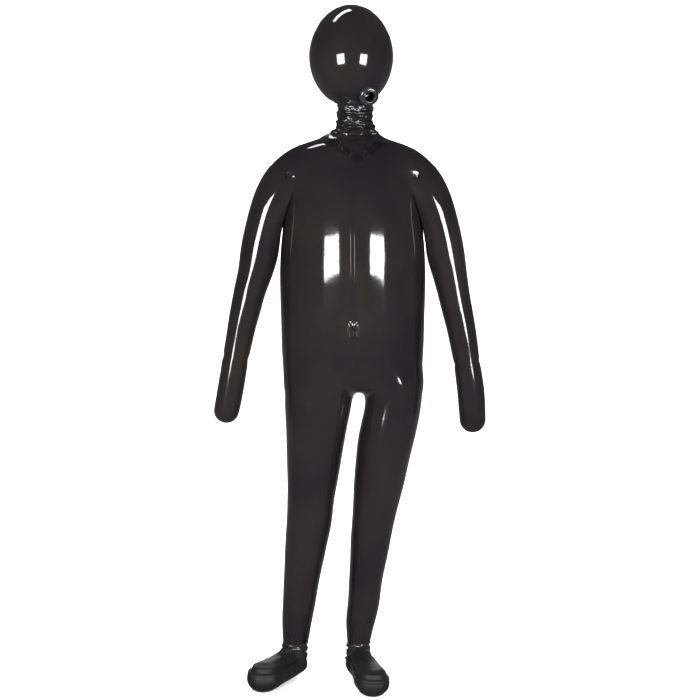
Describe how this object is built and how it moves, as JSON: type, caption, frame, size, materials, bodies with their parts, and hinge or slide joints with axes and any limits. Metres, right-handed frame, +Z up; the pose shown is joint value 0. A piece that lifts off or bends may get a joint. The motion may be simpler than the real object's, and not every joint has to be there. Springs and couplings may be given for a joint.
{
  "type": "full body mannequin",
  "caption": "Inflatable full-body display mannequin in glossy black film, with a balloon head, crumpled neck, rounded mitts and limp flat-soled feet.",
  "frame": {"origin": "on the floor, under the middle of the figure's bounding box", "axes": "+Z up from the soles to the crown, -Y towards the front of the figure, +X towards its left hand"},
  "size_m": [0.7076, 0.3296, 1.75],
  "materials": {
    "film": "high gloss, wet look",
    "tape": "gloss",
    "port": "gloss",
    "fold": "high gloss, crumpled",
    "sole": "satin"
  },
  "bodies": {
    "torso": {"front_right_panel": "film", "front_left_panel": "film", "back_right_panel": "film", "back_left_panel": "film", "upper_front_seam": "tape", "lower_front_seam": "tape", "centre_back_seam": "tape", "lower_seam_patch": "tape", "right_side_seam": "tape", "left_side_seam": "tape", "right_shoulder_seam": "tape", "left_shoulder_seam": "tape", "right_inseam": "tape", "left_inseam": "tape", "right_armhole_ring": "fold", "left_armhole_ring": "fold", "neck_collar": "fold", "right_ankle_cuff": "fold", "left_ankle_cuff": "fold"},
    "neck_lower": {"neck_fold_lower": "fold"},
    "neck_middle": {"neck_fold_middle": "fold"},
    "head": {"head_front_panel": "film", "head_back_panel": "film", "head_seam": "tape", "head_neck_cuff": "fold", "port_flange": "port", "port_tube": "port"},
    "port_flap": {"port_flap": "port"},
    "right_arm": {"right_sleeve_front": "film", "right_sleeve_back": "film", "right_sleeve_outer_seam": "tape", "right_sleeve_inner_seam": "tape", "right_wrist_band": "fold"},
    "right_hand": {"right_mitt_front": "film", "right_mitt_back": "film", "right_mitt_seam": "tape"},
    "right_foot": {"right_foot_upper": "film", "right_sole": "sole", "right_ankle_cup": "fold"},
    "left_arm": {"left_sleeve_front": "film", "left_sleeve_back": "film", "left_sleeve_outer_seam": "tape", "left_sleeve_inner_seam": "tape", "left_wrist_band": "fold"},
    "left_hand": {"left_mitt_front": "film", "left_mitt_back": "film", "left_mitt_seam": "tape"},
    "left_foot": {"left_foot_upper": "film", "left_sole": "sole", "left_ankle_cup": "fold"}
  },
  "joints": [
    {"name": "neck_nod", "type": "hinge", "parent": "torso", "child": "neck_lower", "pos_m": [0.002, 0.04, 1.443], "axis": [1, 0, 0], "range_deg": [-10, 10]},
    {"name": "neck_tilt", "type": "hinge", "parent": "neck_lower", "child": "neck_middle", "pos_m": [0.002, 0.04, 1.443], "axis": [0, 1, 0], "range_deg": [-10, 10]},
    {"name": "neck_turn", "type": "hinge", "parent": "neck_middle", "child": "head", "pos_m": [0.002, 0.04, 1.443], "axis": [0, 0, 1], "range_deg": [-35, 35]},
    {"name": "right_shoulder_raise", "type": "hinge", "parent": "torso", "child": "right_arm", "pos_m": [-0.163, 0.04, 1.302], "axis": [0, 1, 0], "range_deg": [0, 70]},
    {"name": "left_shoulder_raise", "type": "hinge", "parent": "torso", "child": "left_arm", "pos_m": [0.163, 0.04, 1.302], "axis": [0, -1, 0], "range_deg": [0, 70]},
    {"name": "right_wrist_flex", "type": "hinge", "parent": "right_arm", "child": "right_hand", "pos_m": [-0.303, 0.04, 0.85], "axis": [1, 0, 0], "range_deg": [-25, 25], "stiffness_Nm_per_rad": 0.5},
    {"name": "left_wrist_flex", "type": "hinge", "parent": "left_arm", "child": "left_hand", "pos_m": [0.297, 0.04, 0.836], "axis": [1, 0, 0], "range_deg": [-25, 25], "stiffness_Nm_per_rad": 0.5},
    {"name": "right_ankle_pitch", "type": "hinge", "parent": "torso", "child": "right_foot", "pos_m": [-0.152, 0.04, 0.072], "axis": [1, 0, 0], "range_deg": [-15, 15], "stiffness_Nm_per_rad": 60},
    {"name": "left_ankle_pitch", "type": "hinge", "parent": "torso", "child": "left_foot", "pos_m": [0.016, 0.04, 0.072], "axis": [1, 0, 0], "range_deg": [-15, 15], "stiffness_Nm_per_rad": 60},
    {"name": "port_flap_hinge", "type": "hinge", "parent": "head", "child": "port_flap", "pos_m": [0.03604, -0.00742, 1.53795], "axis": [0.965, 0.2622, 0], "range_deg": [0, 75]}
  ]
}
